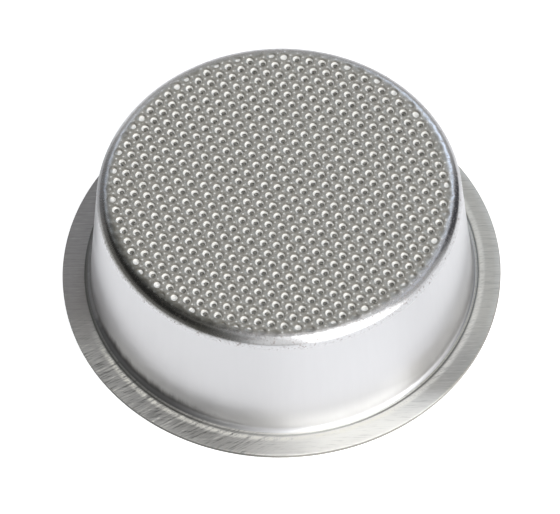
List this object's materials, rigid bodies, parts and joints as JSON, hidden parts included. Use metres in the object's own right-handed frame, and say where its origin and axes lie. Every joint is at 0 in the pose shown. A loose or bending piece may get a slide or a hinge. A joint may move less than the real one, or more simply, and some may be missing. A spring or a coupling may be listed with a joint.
{
  "type": "espresso filter basket",
  "caption": "Round drawn steel cup with a flat outward flange and a finely perforated, punched base that holds ground coffee under the brewing head.",
  "frame": {"origin": "centre of the mouth, in the plane of the flange's sealing face, on which the basket stands", "axes": "+Z along the cup's axis, from the mouth towards the perforated base; the view of the picture is from -Y and above, with +X to its right"},
  "size_m": [0.07, 0.07, 0.0225],
  "materials": {
    "stainless_sheet": "stainless steel sheet: bright drawn wall, brushed flange, satin grey punched base"
  },
  "bodies": {
    "root": {"filter_basket": "stainless_sheet"}
  },
  "joints": []
}
